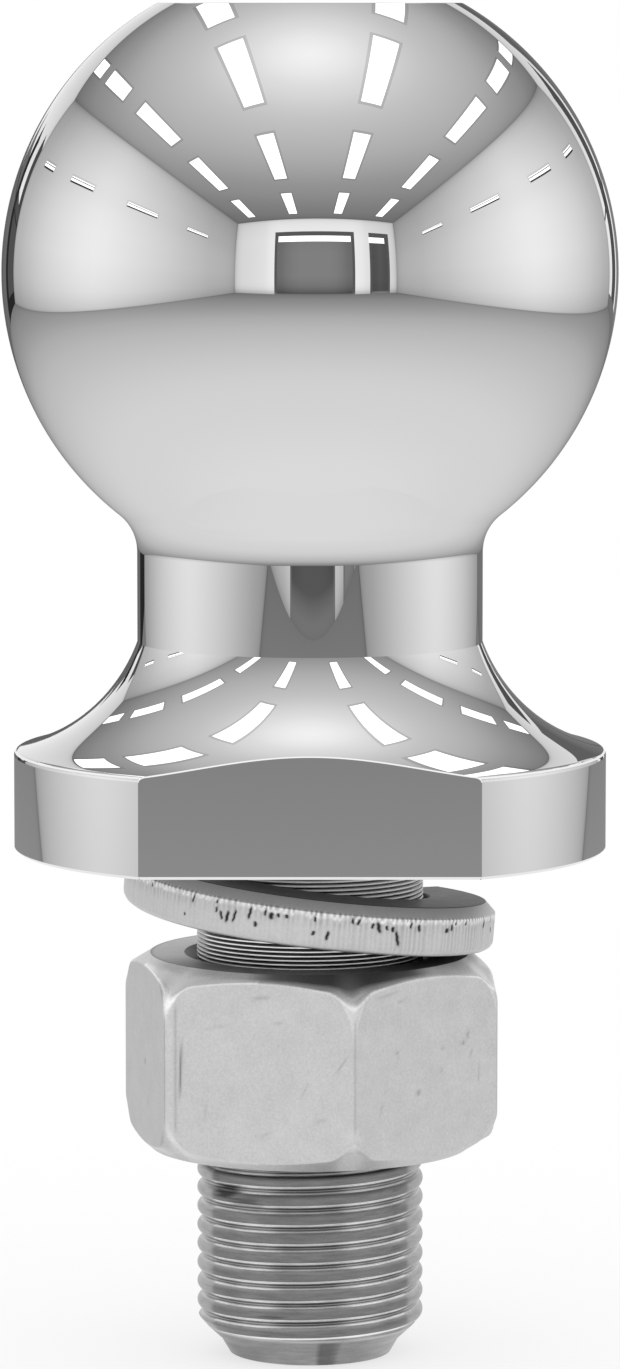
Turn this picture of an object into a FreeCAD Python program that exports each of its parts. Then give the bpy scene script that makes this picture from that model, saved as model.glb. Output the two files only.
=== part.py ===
import FreeCAD, Part
import math
import os

from FreeCAD import Vector

# A tow ball with its lock washer and nut, in millimetres, standing on the end of its shank.
# The origin is the middle of the seat, the flange's underside that clamps on the drawbar.
# +Z runs up the axis to the ball, and the wrench flats face -Y and +Y.

# Forged body: ball, neck, flare and flange
ball_diameter = 50.8
ball_flat_diameter = 25.0
ball_flat_edge_radius = 0.3
neck_diameter = 28.6
neck_length = 9.46            # from the flare to where the bare ball would start
neck_fillet_radius = 4.0
flare_height = 9.0
flare_radius = 14.2
flange_diameter = 49.1
flange_rim_height = 8.25
flange_rim_radius = 0.5
flange_seat_chamfer = 0.25
wrench_flat_depth = 4.2

# Shank, plain at the outside diameter of its thread
shank_diameter = 18.85
shank_length = 42.4
shank_end_chamfer = 2.4

# Helical lock washer, sprung open and tilted on the shank
washer_width = 5.65
washer_thickness = 4.0
washer_lead = 4.0             # rise of one full turn, left-handed
washer_gap_angle = 13.0
washer_low_end_azimuth = 42.0
washer_tilt = 4.4             # up at -X, down at +X
washer_bevel_width = 0.9
washer_bevel_height = 0.9
washer_shank_clearance = 0.1
washer_face_clearance = 0.05  # under the seat and over the nut

# Hexagon nut, chamfered and countersunk on both faces
nut_across_flats = 28.2
nut_thickness = 16.2
nut_face_diameter = 26.6
nut_chamfer_angle = 41.0
nut_corner_azimuth = -77.0
nut_countersink = 1.0
nut_shank_clearance = 0.05

UP = Vector(0, 0, 1)
TILT_AXIS = Vector(0, 1, 0)
ORIGIN = Vector(0, 0, 0)
SAME = 1e-4

ball_radius = ball_diameter / 2
ball_flat_radius = ball_flat_diameter / 2
neck_radius = neck_diameter / 2
flange_radius = flange_diameter / 2
wrench_flat_width = flange_diameter - 2 * wrench_flat_depth
shank_radius = shank_diameter / 2
flare_top = flange_rim_height + flare_height
neck_top = flare_top + neck_length
ball_centre = neck_top + math.sqrt(ball_radius**2 - neck_radius**2)
ball_top = ball_centre + math.sqrt(ball_radius**2 - ball_flat_radius**2)


def at(radius, height):
    """A point of a half section, in the XZ plane."""
    return Vector(radius, 0, height)


def outline(*points):
    """Straight edges through the points, in order."""
    return [Part.LineSegment(a, b).toShape() for a, b in zip(points, points[1:])]


def hollow_arc(start, end, radius):
    """An arc whose centre lies to the left of the way from start to end."""
    chord = end - start
    left = Vector(-chord.z, 0, chord.x).normalize()
    sagitta = radius - math.sqrt(radius**2 - (chord.Length / 2)**2)
    return Part.Arc(start, (start + end) / 2 - left * sagitta, end).toShape()


def revolved(edges):
    """The solid of a closed half section turned round the axis."""
    return Part.Face(Part.Wire(edges)).revolve(ORIGIN, UP, 360).Solids[0]


def circles(solid, radius, height):
    """The solid's full circles round the axis with this radius and height."""
    return [
        edge for edge in solid.Edges
        if isinstance(edge.Curve, Part.Circle)
        and abs(edge.Curve.Radius - radius) < SAME
        and abs(edge.Curve.Center.z - height) < SAME
    ]


def body_section():
    """Half section from the flat top of the ball down to the end of the shank."""
    flat_rim = at(ball_flat_radius, ball_top)
    ball_side = at(ball_radius, ball_centre)
    ball_foot = at(neck_radius, neck_top)
    neck_foot = at(neck_radius, flare_top)
    rim_top = at(flange_radius, flange_rim_height)
    return [
        Part.Arc(flat_rim, ball_side, ball_foot).toShape(),
        *outline(ball_foot, neck_foot),
        hollow_arc(neck_foot, rim_top, flare_radius),
        *outline(
            rim_top,
            at(flange_radius, 0),
            at(shank_radius, 0),
            at(shank_radius, shank_end_chamfer - shank_length),
            at(shank_radius - shank_end_chamfer, -shank_length),
            at(0, -shank_length),
            at(0, ball_top),
            flat_rim,
        ),
    ]


def cut_wrench_flats(body):
    """Both flats end at the top of the flare, so the ball stays round."""
    reach = flange_diameter
    for near_side in (-reach - wrench_flat_width / 2, wrench_flat_width / 2):
        corner = Vector(-reach, near_side, -reach)
        body = body.cut(Part.makeBox(2 * reach, reach, reach + flare_top, corner))
    return body


def seat_rim(body):
    """The outer edges of the seat: two arcs and the feet of the two flats."""
    rim = []
    for edge in body.Edges:
        middle = edge.valueAt((edge.FirstParameter + edge.LastParameter) / 2)
        points = [middle] + [vertex.Point for vertex in edge.Vertexes]
        level = all(abs(point.z) < SAME for point in points)
        if level and math.hypot(middle.x, middle.y) > shank_radius + SAME:
            rim.append(edge)
    return rim


def tow_ball():
    body = revolved(body_section())
    body = body.makeFillet(neck_fillet_radius, circles(body, neck_radius, neck_top))
    body = body.makeFillet(ball_flat_edge_radius, circles(body, ball_flat_radius, ball_top))
    body = body.makeFillet(flange_rim_radius, circles(body, flange_radius, flange_rim_height))
    body = cut_wrench_flats(body)
    return body.makeChamfer(flange_seat_chamfer, seat_rim(body)).Solids[0]


def washer_bore_radius():
    """Wide enough for the tilted washer to clear the shank at both of its faces."""
    half_height = (washer_thickness + washer_lead) / 2
    tilt = math.radians(washer_tilt)
    needed = shank_radius + washer_shank_clearance + half_height * math.sin(tilt)
    return needed / math.cos(tilt)


def lock_washer():
    """A bevelled square section swept along a left-handed helix, then tilted."""
    bore = washer_bore_radius()
    rim = bore + washer_width
    face = washer_thickness / 2
    section = Part.Wire(outline(
        at(bore, -face),
        at(rim, -face),
        at(rim, face - washer_bevel_height),
        at(rim - washer_bevel_width, face),
        at(bore, face),
        at(bore, -face),
    ))
    rise = washer_lead * (1 - washer_gap_angle / 360)
    helix = Part.makeHelix(washer_lead, rise, bore + washer_width / 2, 0, True)
    washer = Part.Wire(helix.Edges).makePipeShell([section], True, True)
    washer.translate(UP * (-rise / 2))
    washer.rotate(ORIGIN, UP, washer_low_end_azimuth)
    washer.rotate(ORIGIN, TILT_AXIS, washer_tilt)
    highest = washer.optimalBoundingBox(False, False).ZMax
    washer.translate(UP * (-washer_face_clearance - highest))
    return washer.Solids[0]


def hex_nut(top):
    """The nut with its upper face at this height."""
    corner_radius = nut_across_flats / math.sqrt(3)
    corners = []
    for side in range(7):
        angle = math.radians(nut_corner_azimuth + 60 * side)
        corners.append(Vector(math.cos(angle), math.sin(angle), 0) * corner_radius)
    prism = Part.Face(Part.makePolygon(corners)).extrude(UP * -nut_thickness)

    face_radius = nut_face_diameter / 2
    drop = (corner_radius - face_radius) * math.tan(math.radians(nut_chamfer_angle))
    bore = shank_radius + nut_shank_clearance
    mouth = bore + nut_countersink
    turned = revolved(outline(
        at(mouth, 0),
        at(face_radius, 0),
        at(corner_radius, -drop),
        at(corner_radius, drop - nut_thickness),
        at(face_radius, -nut_thickness),
        at(mouth, -nut_thickness),
        at(bore, nut_countersink - nut_thickness),
        at(bore, -nut_countersink),
        at(mouth, 0),
    ))
    nut = prism.common(turned).Solids[0]
    nut.translate(UP * top)
    return nut


def main():
    washer = lock_washer()
    nut_top = washer.optimalBoundingBox(False, False).ZMin - washer_face_clearance
    pieces = {
        "tow_ball": tow_ball(),
        "lock_washer": washer,
        "hex_nut": hex_nut(nut_top),
    }
    os.makedirs("parts", exist_ok=True)
    for name, piece in pieces.items():
        piece.exportStep(f"parts/{name}.step")
        print(f"{name}: {piece.Volume:.1f} mm3, {len(piece.Faces)} faces, valid {piece.isValid()}")
    print(f"flat top at {ball_top:.3f}, ball centre at {ball_centre:.3f}, nut from {nut_top:.3f}")


main()
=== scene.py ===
import math

import bpy
import numpy as np
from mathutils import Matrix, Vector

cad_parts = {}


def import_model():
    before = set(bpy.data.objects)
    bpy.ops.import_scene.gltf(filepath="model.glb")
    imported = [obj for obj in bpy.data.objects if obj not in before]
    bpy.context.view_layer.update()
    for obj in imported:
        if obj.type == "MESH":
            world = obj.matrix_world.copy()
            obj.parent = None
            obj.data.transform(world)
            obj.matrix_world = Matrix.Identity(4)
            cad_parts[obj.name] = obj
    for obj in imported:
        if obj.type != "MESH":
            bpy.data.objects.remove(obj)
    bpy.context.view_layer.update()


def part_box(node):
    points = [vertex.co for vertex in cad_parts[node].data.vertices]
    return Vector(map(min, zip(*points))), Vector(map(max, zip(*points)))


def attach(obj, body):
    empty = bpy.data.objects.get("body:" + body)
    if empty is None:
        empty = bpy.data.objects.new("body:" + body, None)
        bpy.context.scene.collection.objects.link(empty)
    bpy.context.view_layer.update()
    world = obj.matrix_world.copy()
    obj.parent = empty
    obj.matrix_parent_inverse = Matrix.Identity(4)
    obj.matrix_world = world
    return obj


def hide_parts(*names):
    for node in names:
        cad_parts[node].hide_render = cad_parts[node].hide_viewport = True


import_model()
mm = 0.001  # all sizes below are in millimetres, and the meshes are made in metres

print("frame loaded")


# Shader maths as expressions: a Wire is one socket, and + - * / < > on it add Math nodes
class Wire:
    def __init__(self, tree, socket=None):
        self.tree = tree
        self.socket = socket

    # any node: its type, its settings, then the values or links of its sockets
    def node(self, kind, settings=None, sockets=None, out=0):
        made = self.tree.nodes.new(kind)
        for name, value in (settings or {}).items():
            if name == "stops":
                setStops(made.color_ramp, value)
            else:
                setattr(made, name, value)
        for name, value in (sockets or {}).items():
            if isinstance(value, Wire):
                self.tree.links.new(value.socket, made.inputs[name])
            else:
                made.inputs[name].default_value = value
        return Wire(self.tree, made.outputs[out]) if len(made.outputs) else made

    def maths(self, operation, *values):
        return self.node("ShaderNodeMath", {"operation": operation}, dict(enumerate(values)))

    # the three parts of a coordinate
    def axes(self, coordinate):
        split = self.node("ShaderNodeSeparateXYZ", sockets={
            "Vector": self.node("ShaderNodeTexCoord", out=coordinate)}).socket.node
        return [Wire(self.tree, part) for part in split.outputs]

    def __add__(self, other):
        return self.maths("ADD", self, other)

    def __sub__(self, other):
        return self.maths("SUBTRACT", self, other)

    def __rsub__(self, other):
        return self.maths("SUBTRACT", other, self)

    def __mul__(self, other):
        return self.maths("MULTIPLY", self, other)

    def __truediv__(self, other):
        return self.maths("DIVIDE", self, other)

    def __rtruediv__(self, other):
        return self.maths("DIVIDE", other, self)

    def __lt__(self, other):
        return self.maths("LESS_THAN", self, other)

    def __gt__(self, other):
        return self.maths("GREATER_THAN", self, other)

    def __abs__(self):
        return self.maths("ABSOLUTE", self)

    __radd__ = __add__
    __rmul__ = __mul__

    def greatest(self, other):
        return self.maths("MAXIMUM", self, other)

    def between(self, low, high):
        return (self > low) * (self < high)

    # how far from the nearest of a row of evenly spaced places
    def offRow(self, start, pitch):
        return abs(self.maths("WRAP", self - start, pitch / 2, -pitch / 2))

    # a grey read off a list of (place, grey) pairs, with straight lines between them
    def shade(self, table):
        low, high = table[0][0], table[-1][0]
        stops = [((place - low) / (high - low), grey) for place, grey in table]
        share = (self - low) / (high - low)
        return self.node("ShaderNodeValToRGB", {"stops": stops}, {"Fac": share})

    # the other shade wherever the mask is 1
    def under(self, other, mask):
        return self.node("ShaderNodeMix", {"data_type": "FLOAT"},
                         {"Factor": mask, 2: self, 3: other})


def setStops(ramp, stops):
    while len(ramp.elements) > 1:
        ramp.elements.remove(ramp.elements[-1])
    ramp.elements[0].position = stops[0][0]
    for place, _ in stops[1:]:
        ramp.elements.new(place)
    for element, (_, grey) in zip(ramp.elements, stops):
        element.color = (grey, grey, grey, 1)


# a screen grey, 0 to 255, as the light that shows it
def light(grey):
    share = grey / 255
    return share / 12.92 if share <= 0.04045 else ((share + 0.055) / 1.055) ** 2.4


# Camera, level with the ball's flat top and tilted down
view = {
    "place": (0, -0.530, 0.0698),
    "pitch": 6.054,
    "lens": 168.98,
}
cameraData = bpy.data.cameras.new("camera")
cameraData.lens = view["lens"]
cameraData.sensor_width = 36
cameraData.clip_start = 0.01
camera = bpy.data.objects.new("camera", cameraData)
camera.location = view["place"]
camera.rotation_euler = (math.radians(90 - view["pitch"]), 0, 0)
bpy.context.scene.collection.objects.link(camera)
bpy.context.scene.camera = camera
bpy.context.scene.view_settings.view_transform = "Standard"

print("camera placed")


# The workshop that polished metal reflects, in half room widths from the ball.
# Its long axis y runs from the near wall, behind the camera, to the far wall.
room = {
    "yaw": 2.15,
    "near": 1.75,
    "far": 1.56,
    "ceiling": 0.71,
    "floor": 0.1735,
    "plate": 0.90,          # what the chrome gives back, so the room's greys are before it
    "lamp": 1.6,
    "lampColumns": (0.4873, 0.2438),
    "lampHalfWidth": 0.0445,
    "lampRows": (-0.032, 0.667),
    "lampHalfLength": 0.224,
    "lampRim": (0.012, 0.02),       # beside the lamps and beyond their ends
    "lampRimDepth": 0.22,
    "slitRows": (0.30, 0.65),
    "slitHalfLength": 0.15,
    "slitEnds": (-1.3, 1.2),
    "slitHeight": (0.387, 0.415),   # on the left wall and on the right one
    "slitHalfHeight": 0.011,
    "slitRim": (0.010, 0.012),
    "slitRimDepth": 0.14,
    "slitFoot": (-0.018, -0.010),   # a dark edge under each slit, and a line along it
    "slitLine": (0.002, 0.006),
    "sideGrey": 241,
    "doorTop": 0.55,
    "doorFrame": (0.03, 0.05),      # at the sides and over the door
    "stripHeight": 0.068,
    "farDoor": (-0.02, 0.54, 0.48),
}
# greys of the ceiling and the floor, by how many degrees off level they are seen
ceilingShades = [(20, 112), (22, 115), (24, 122), (26, 127), (28, 132), (30, 138), (35, 148),
                 (40, 161), (45, 172), (50, 180), (55, 187), (60, 194), (65, 203), (70, 213),
                 (75, 221), (80, 231), (85, 238), (90, 242)]
floorShades = [(5, 110), (5.7, 118), (6.8, 130), (7.7, 137), (9, 144), (11, 155), (14, 171), (18, 183),
               (22, 190), (26, 196), (30, 201), (35, 206), (40, 209), (50, 211), (60, 214), (70, 217),
               (90, 218)]
# shares of light on the side walls, along them and up them
sideAlong = [(0, 0.945), (0.1, 0.93), (0.2, 0.895), (0.36, 0.83), (0.84, 0.63), (1.19, 0.53), (1.5, 0.49),
             (1.75, 0.45)]
sideUp = [(-0.185, 0.66), (-0.16, 0.72), (-0.12, 0.82), (-0.087, 0.89), (-0.05, 0.93),
          (0, 0.96), (0.07, 1.0), (0.2, 1.0), (0.29, 0.97), (0.36, 0.92), (0.47, 0.88),
          (0.58, 0.80), (0.625, 0.76), (0.71, 0.65)]
# near wall: greys by the distance from its middle, then shares of light by height
nearShades = [(0.44, 236), (0.53, 232), (0.6, 224), (0.72, 219), (0.90, 213), (1.0, 205)]
nearUp = [(-0.1735, 0.55), (-0.163, 0.62), (-0.155, 0.68), (-0.146, 0.70), (-0.12, 0.88), (-0.08, 0.97),
          (-0.03, 1.0), (0.45, 1.0), (0.6, 0.95), (0.71, 0.88)]
# its two doors and their frames, greys by height
doorShades = [(-0.1735, 129), (-0.170, 122), (-0.168, 115), (-0.1645, 103), (-0.1623, 92), (-0.161, 86),
              (-0.152, 85), (-0.14, 94), (-0.117, 103), (-0.078, 115), (-0.04, 120), (0, 124), (0.04, 127),
              (0.3, 127), (0.42, 123), (0.46, 117)]
smallDoorShades = [(-0.1735, 128), (-0.15, 126), (-0.14, 88), (0, 94), (0.46, 96)]
frameShades = [(-0.1735, 122), (-0.168, 114), (-0.162, 104), (-0.152, 90), (-0.14, 86)]
# how much darker a door is by the distance from its sides, and how much of that is left at its foot
doorSideDepth = [(0.03, 0.32), (0.09, 0.26), (0.15, 0.14), (0.22, 0.05), (0.30, 0)]
doorFootShare = [(-0.1735, 0.1), (-0.163, 0.3), (-0.152, 1)]
# each door's left, right, and the left, right and top of the lit strip over it
nearDoors = [(-0.474, 0.448, -0.432, 0.405, 0.497, doorShades),
             (0.632, 0.90, 0.632, 0.84, 0.493, smallDoorShades)]
# far wall and its door, greys by height
farShades = [(-0.168, 225), (0.1, 235), (0.3, 222), (0.71, 200)]
farDoorShades = [(-0.168, 122), (0.1, 116), (0.24, 104), (0.32, 92), (0.5, 92)]
# dark things along the far wall: grey, left, right, bottom and top
farThings = [(76, 0.62, 0.84, -1, 0.49), (78, -1, -0.70, -1, 0.15), (70, -1, -0.86, 0.149, 0.42),
             (40, -0.70, -0.58, -1, 0.30), (102, -0.58, -0.36, -1, 0.20), (95, -0.36, -0.02, -1, 0.09),
             (55, -1, 1, 0.094, 0.106), (110, 0.3, 1, -1, -0.13), (38, -1, -0.62, -1, -0.13)]
# darkening near the lines where two of the room's sides meet
creaseDepth = [(0.90, 0), (0.95, 0.03), (0.975, 0.09), (0.99, 0.20), (1.0, 0.30)]


# the light that the chrome gives back as these greys
def before(grey):
    return light(grey) / room["plate"]


def reflected(table):
    return [(place, before(grey)) for place, grey in table]


def buildRoom(start):
    yaw = math.radians(room["yaw"])
    dx, dy, dz = start.axes("Generated")
    across = dx * math.cos(yaw) + dy * math.sin(yaw)
    along = dy * math.cos(yaw) - dx * math.sin(yaw)       # towards the far wall

    # the wall, floor or ceiling that the ray meets, and where
    nearSide = abs(across)
    nearEnd = (along / room["far"]).greatest(along / -room["near"])
    nearLevel = (dz / room["ceiling"]).greatest(dz / -room["floor"])
    reach = nearSide.greatest(nearEnd).greatest(nearLevel)
    x, y, z = across / reach, along / reach, dz / reach
    elevation = abs(dz.maths("ARCSINE", dz)) * (180 / math.pi)

    # ceiling, with its four columns of lamps
    column = abs(abs(abs(x) - room["lampColumns"][0]) - room["lampColumns"][1])
    row = y.offRow(*room["lampRows"])
    wide, long = room["lampHalfWidth"], room["lampHalfLength"]
    rims = (column < wide + room["lampRim"][0]) * (row < long + room["lampRim"][1])
    ceiling = elevation.shade(reflected(ceilingShades)) * (1 - rims * room["lampRimDepth"])
    ceiling = ceiling.under(room["lamp"], (column < wide) * (row < long))
    ground = elevation.shade(reflected(floorShades))

    # side walls, with a row of lit slits
    slitLevel = (x > 0) * (room["slitHeight"][1] - room["slitHeight"][0]) + room["slitHeight"][0]
    offSlit = z - slitLevel
    row, used = y.offRow(*room["slitRows"]), y.between(*room["slitEnds"])
    high, long = room["slitHalfHeight"], room["slitHalfLength"]
    inSlit = (row < long) * used
    rims = (abs(offSlit) < high + room["slitRim"][0]) * (row < long + room["slitRim"][1]) * used
    side = abs(y).shade(sideAlong) * z.shade(sideUp) * (1 - rims * room["slitRimDepth"]) \
        * before(room["sideGrey"])
    side = side.under(room["lamp"], (abs(offSlit) < high) * inSlit)
    side = side.under(before(50), offSlit.between(*room["slitFoot"]) * inSlit)
    side = side.under(before(70), offSlit.between(*room["slitLine"]) * inSlit)

    # near wall, with two shut doors that have a lit strip over them
    near = abs(x).shade(reflected(nearShades)) * z.shade(nearUp)
    top, (frameSide, frameTop) = room["doorTop"], room["doorFrame"]
    for left, right, stripLeft, stripRight, stripTop, shades in nearDoors:
        inward = (right - left) / 2 - abs(x - (left + right) / 2)
        panel = z.shade(reflected(shades)) * (1 - inward.shade(doorSideDepth) * z.shade(doorFootShare))
        near = near.under(z.shade(reflected(frameShades)), x.between(left, right) * (z < top))
        near = near.under(panel, x.between(left + frameSide, right - frameSide) * (z < top - frameTop))
        strip = x.between(stripLeft, stripRight) * z.between(stripTop - room["stripHeight"], stripTop)
        near = near.under(room["lamp"], strip)

    # far wall, with a door and dark things along its foot
    left, right, top = room["farDoor"]
    far = z.shade(reflected(farShades))
    far = far.under(z.shade(reflected(farDoorShades)), x.between(left, right) * (z < top))
    for grey, left, right, bottom, top in farThings:
        far = far.under(before(grey), x.between(left, right) * z.between(bottom, top))

    ends = near.under(far, y > 0)
    levels = ground.under(ceiling, dz > 0)
    walls = side.under(ends, nearEnd > nearSide)
    everywhere = walls.under(levels, nearLevel > nearSide.greatest(nearEnd))

    # of the three nearest sides the second tells how close a crease is; the end walls' feet have little
    least = nearSide.maths("MINIMUM", nearSide.maths("MINIMUM", nearSide, nearEnd), nearLevel)
    second = (nearSide + nearEnd + nearLevel - reach - least) / reach
    crease = second.shade(creaseDepth)
    footOfEnds = (nearLevel > nearEnd) * (nearEnd > nearSide) * (dz < 0)
    return everywhere * (1 - crease * (1 - footOfEnds * 0.9))


# plain studio light for everything dull, a little stronger from the front and from above
def softLight(start):
    _, dy, dz = start.axes("Generated")
    return 0.97 - dy * 0.06 + dz * 0.06


# White to the camera, the workshop to mirror reflections, and plain soft light to the rest
world = bpy.data.worlds.new("workshop")
world.use_nodes = True
world.node_tree.nodes.clear()
begin = Wire(world.node_tree)
rays = begin.node("ShaderNodeLightPath").socket.node
fromCamera, mirrored = (Wire(world.node_tree, rays.outputs[name])
                        for name in ("Is Camera Ray", "Is Singular Ray"))
plain = softLight(begin).under(1.0, fromCamera)
strength = plain.under(buildRoom(begin), mirrored)
backdrop = begin.node("ShaderNodeBackground", sockets={"Color": (1, 1, 1, 1), "Strength": strength})
begin.node("ShaderNodeOutputWorld", sockets={"Surface": backdrop})
bpy.context.scene.world = world

print("room and light made")


# Meshes: each patch is a grid of places and of outward directions
mergeDistance = 2e-4


# evenly spaced shares from 0 to 1
def closeRows(count):
    return np.linspace(0, 1, count + 1)


# an arc and a line of a half section, as rows of radius, height and outward direction
def arc(centre, radius, start, stop, count, hollow=False):
    turn = np.radians(start + (stop - start) * closeRows(count))
    way = np.column_stack([np.cos(turn), np.sin(turn)])
    return np.hstack([np.array(centre) + radius * way, -way if hollow else way])


def straight(start, stop, way, count):
    share = closeRows(count)[:, None]
    spots = np.array(start) + (np.array(stop) - np.array(start)) * share
    return np.hstack([spots, np.tile(way, (count + 1, 1))])


# a half section turned round the axis
def turned(section, turns):
    c, s = np.cos(turns), np.sin(turns)
    spots = np.stack([np.outer(section[:, 0], c), np.outer(section[:, 0], s),
                      np.outer(section[:, 1], np.ones_like(c))], -1)
    ways = np.stack([np.outer(section[:, 2], c), np.outer(section[:, 2], s),
                     np.outer(section[:, 3], np.ones_like(c))], -1)
    return spots, ways


# the outward directions of a grid, from its own shape
def gridWays(spots, outside, closed=False):
    if closed:
        down = np.roll(spots, -1, 0) - np.roll(spots, 1, 0)
    else:
        down = np.gradient(spots, axis=0)
    ways = np.cross(down, np.gradient(spots, axis=1))
    ways /= np.maximum(np.linalg.norm(ways, axis=-1, keepdims=True), 1e-12)
    return ways * np.sign((ways * outside).sum())


# One mesh from patches of places, outward directions and, where given, tones. Places that meet are
# merged, while directions and tones stay with the face corners, so that edges can be sharp.
def meshPiece(name, patches, material):
    spots, ways, quads, tones = [], [], [], []
    count = 0
    for place, way, *tone in patches:
        rows, columns = place.shape[:2]
        index = count + np.arange(rows * columns).reshape(rows, columns)
        quad = np.stack([index[:-1, :-1], index[:-1, 1:], index[1:, 1:], index[1:, :-1]], -1)
        quad = quad.reshape(-1, 4)
        corner, outward = place.reshape(-1, 3), np.broadcast_to(way, place.shape).reshape(-1, 3)
        a, b, c, d = (corner[quad[:, i] - count] for i in range(4))
        if (np.cross(c - a, d - b) * outward[quad[:, 0] - count]).sum() < 0:
            quad = quad[:, ::-1]
        spots.append(corner)
        ways.append(outward)
        quads.append(quad)
        tones.append(np.broadcast_to(tone[0] if tone else 0.5, (rows, columns)).ravel())
        count += len(corner)
    spots, ways, quads, tones = (np.concatenate(x) for x in (spots, ways, quads, tones))
    keys = np.round(spots / mergeDistance).astype(np.int64)
    _, first, same = np.unique(keys, axis=0, return_index=True, return_inverse=True)
    same = same.ravel()
    faces, loopWays, loopTones = [], [], []
    for quad in quads.tolist():
        ring = []
        for corner in quad:
            if not ring or same[corner] != same[ring[-1]]:
                ring.append(corner)
        if len(ring) > 1 and same[ring[0]] == same[ring[-1]]:
            ring.pop()
        if len(set(same[ring])) > 2:
            faces.append([int(same[corner]) for corner in ring])
            loopWays += [ways[corner] for corner in ring]
            loopTones += [tones[corner] for corner in ring]
    mesh = bpy.data.meshes.new(name)
    mesh.from_pydata((spots[first] * mm).tolist(), [], faces)
    mesh.materials.append(material)
    mesh.shade_smooth()
    mesh.normals_split_custom_set(loopWays)
    mesh.attributes.new("tone", "FLOAT", "CORNER").data.foreach_set("value", loopTones)
    piece = bpy.data.objects.new(name, mesh)
    bpy.context.scene.collection.objects.link(piece)
    return piece


# a Principled material whose socket values come from a function
def newMaterial(name, sockets):
    material = bpy.data.materials.new(name)
    material.use_nodes = True
    material.node_tree.nodes.clear()
    begin = Wire(material.node_tree)
    made = sockets(begin)
    shader = begin.node("ShaderNodeBsdfPrincipled", sockets=made)
    begin.node("ShaderNodeOutputMaterial", sockets={"Surface": shader})
    return material


# Forged body, polished and chrome plated from the ball down to the seat
body = {
    "ballRadius": 25.4,
    "flatRadius": 12.5,
    "flatEdgeRadius": 0.3,
    "neckRadius": 14.3,
    "neckFilletRadius": 4.0,
    "flareTop": 17.25,
    "flareRadius": 14.2,
    "rimRadius": 24.55,
    "rimHeight": 8.25,
    "rimEdgeRadius": 0.5,
    "flatDistance": 20.35,
    "flatEdge": 0.12,       # rounding left by the polishing along the flats' edges
    "seatChamfer": 0.25,
    "roundTone": 1.0,       # marks the dull small rounds
    "halfColumns": 128,
    "flatColumns": 10,
}


def chromeFinish(begin):
    place = begin.node("ShaderNodeTexCoord", out="Object")
    smear = begin.node("ShaderNodeTexNoise", sockets={"Vector": place, "Scale": 260.0, "Detail": 3.0})
    tone = begin.node("ShaderNodeAttribute", {"attribute_name": "tone"}, out="Fac")
    rounded = tone > 0.97                 # the small rounds are duller
    return {
        "Base Color": (room["plate"], room["plate"], room["plate"], 1),
        "Metallic": 1.0,
        "Roughness": smear * 0.002 + 0.0005 + rounded * 0.12,
    }


def bodySections():
    b = body
    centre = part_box("tow_ball")[1].z / mm - math.sqrt(b["ballRadius"] ** 2 - b["flatRadius"] ** 2)
    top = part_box("tow_ball")[1].z / mm
    edge = b["flatEdgeRadius"]
    edgeZ = top - edge
    edgeR = math.sqrt((b["ballRadius"] - edge) ** 2 - (edgeZ - centre) ** 2)
    upper = math.degrees(math.atan2(edgeZ - centre, edgeR))
    fillet = b["neckFilletRadius"]
    filletR = b["neckRadius"] + fillet
    filletZ = centre - math.sqrt((b["ballRadius"] + fillet) ** 2 - filletR ** 2)
    lower = math.degrees(math.atan2(filletZ - centre, filletR))

    # the hollow flare runs from the neck's foot to the rim
    start = np.array([b["neckRadius"], b["flareTop"]])
    stop = np.array([b["rimRadius"], b["rimHeight"]])
    chord = stop - start
    left = np.array([-chord[1], chord[0]]) / np.hypot(*chord)
    flare = (start + stop) / 2 + left * math.sqrt(b["flareRadius"] ** 2 - (chord @ chord) / 4)
    rimEdge = b["rimEdgeRadius"]
    rimEdgeR = b["rimRadius"] - rimEdge
    rimEdgeZ = flare[1] - math.sqrt((b["flareRadius"] + rimEdge) ** 2 - (flare[0] - rimEdgeR) ** 2)
    flareFoot = math.degrees(math.atan2(rimEdgeZ - flare[1], rimEdgeR - flare[0])) % 360
    flareHead = math.degrees(math.atan2(start[1] - flare[1], start[0] - flare[0])) % 360
    return {
        "crown": [straight((0, top), (edgeR, top), (0, 1), 8),
                  arc((edgeR, edgeZ), edge, 90, upper, 8),
                  arc((0, centre), b["ballRadius"], upper, lower, 96),
                  arc((filletR, filletZ), fillet, lower + 180, 180, 24, hollow=True),
                  straight((b["neckRadius"], filletZ), start, (1, 0), 6)],
        "flare": (flare, flareHead, flareFoot),
        "rimEdge": ((rimEdgeR, rimEdgeZ), flareFoot - 180, 0),
    }


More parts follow.
